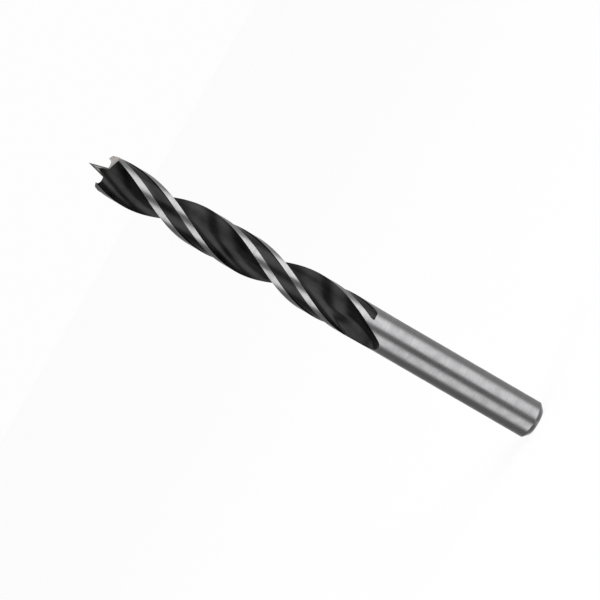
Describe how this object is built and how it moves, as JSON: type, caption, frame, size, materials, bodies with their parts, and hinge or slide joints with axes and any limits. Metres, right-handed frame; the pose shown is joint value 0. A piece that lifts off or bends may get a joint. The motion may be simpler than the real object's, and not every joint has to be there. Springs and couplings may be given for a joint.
{
  "type": "wood twist drill bit",
  "caption": "Brad point twist bit for wood, with black flutes, bright double margins, rim spurs and a plain round shank.",
  "frame": {"origin": "middle of the shank's flat end face", "axes": "+Z along the bit's axis towards the brad point, +X towards the corner of the first lip"},
  "size_m": [0.01, 0.01, 0.127],
  "materials": {
    "tool_steel": "ground bright on shank, margins and point, black oxide in the flutes and sunk bands"
  },
  "bodies": {
    "root": {"drill_bit": "tool_steel"}
  },
  "joints": []
}
